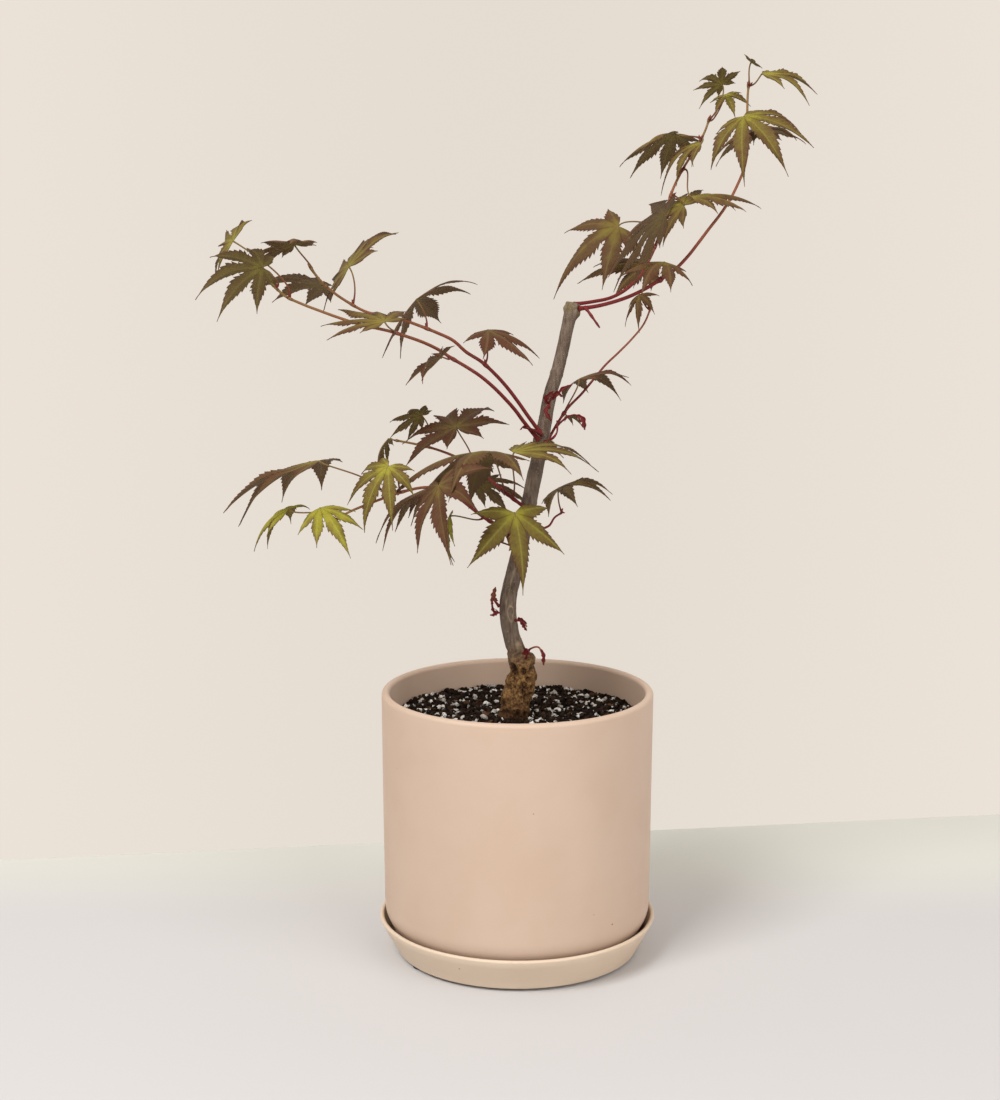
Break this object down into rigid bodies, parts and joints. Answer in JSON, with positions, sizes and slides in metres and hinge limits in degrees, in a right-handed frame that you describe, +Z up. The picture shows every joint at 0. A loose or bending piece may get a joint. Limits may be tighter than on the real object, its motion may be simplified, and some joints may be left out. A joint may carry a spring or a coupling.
{
  "type": "potted bonsai tree",
  "caption": "Young Japanese maple trained as a bonsai, with thin arching shoots and pointed lobed leaves, in a plain cylindrical ceramic pot with a matching saucer.",
  "frame": {"origin": "on the pot's axis, level with the undersides of the saucer's feet", "axes": "+Z up the pot's axis, +X to the right and -Y to the front as the tree is shown"},
  "size_m": [0.3284, 0.1862, 0.4937],
  "materials": {
    "blush_ceramic": "satin blush glaze, faintly uneven, with a few tiny pits",
    "foot_rubber": "matt black",
    "potting_soil": "dark crumbly peat with white perlite and bark",
    "trunk_bark": "matt grey-brown bark, ochre and knobbly at the foot",
    "young_shoot": "smooth dark red bark turning tan and green towards the tips",
    "maple_leaf": "thin soft leaf, olive at the veins and bronze at the edges"
  },
  "bodies": {
    "root": {"leaf_left_high_1": "maple_leaf", "leaf_left_high_2": "maple_leaf", "leaf_left_high_3": "maple_leaf", "leaf_left_high_4": "maple_leaf", "leaf_left_high_5": "maple_leaf", "leaf_left_low_1": "maple_leaf", "leaf_left_low_2": "maple_leaf", "leaf_left_low_3": "maple_leaf", "leaf_left_low_4": "maple_leaf", "leaf_low_left_1": "maple_leaf", "leaf_low_left_2": "maple_leaf", "leaf_low_left_3": "maple_leaf", "leaf_low_left_4": "maple_leaf", "leaf_low_left_5": "maple_leaf", "leaf_low_left_6": "maple_leaf", "leaf_low_left_7": "maple_leaf", "leaf_mid_left_1": "maple_leaf", "leaf_mid_left_2": "maple_leaf", "leaf_mid_left_3": "maple_leaf", "leaf_mid_left_4": "maple_leaf", "leaf_mid_left_5": "maple_leaf", "leaf_mid_left_6": "maple_leaf", "leaf_right_1": "maple_leaf", "leaf_right_2": "maple_leaf", "leaf_right_3": "maple_leaf", "leaf_top_main_1": "maple_leaf", "leaf_top_main_2": "maple_leaf", "leaf_top_main_3": "maple_leaf", "leaf_top_main_4": "maple_leaf", "leaf_top_main_5": "maple_leaf", "leaf_top_main_6": "maple_leaf", "leaf_top_second_1": "maple_leaf", "leaf_top_second_2": "maple_leaf", "leaf_top_second_3": "maple_leaf", "leaf_top_second_4": "maple_leaf", "leaf_top_second_5": "maple_leaf", "leaf_top_second_6": "maple_leaf", "leaf_top_second_7": "maple_leaf", "leaf_top_second_8": "maple_leaf", "leaf_twig_front_1": "maple_leaf", "leaf_twig_right_1": "maple_leaf", "pot": "blush_ceramic", "saucer": "blush_ceramic", "saucer_foot_1": "foot_rubber", "saucer_foot_2": "foot_rubber", "saucer_foot_3": "foot_rubber", "shoot_left_high": "young_shoot", "shoot_left_low": "young_shoot", "shoot_low_left": "young_shoot", "shoot_mid_left": "young_shoot", "shoot_right": "young_shoot", "shoot_top_main": "young_shoot", "shoot_top_second": "young_shoot", "soil": "potting_soil", "sprout_foot": "young_shoot", "sprout_low_left": "young_shoot", "sprout_low_right": "young_shoot", "trunk": "trunk_bark", "twig_front": "young_shoot", "twig_right": "young_shoot"}
  },
  "joints": []
}
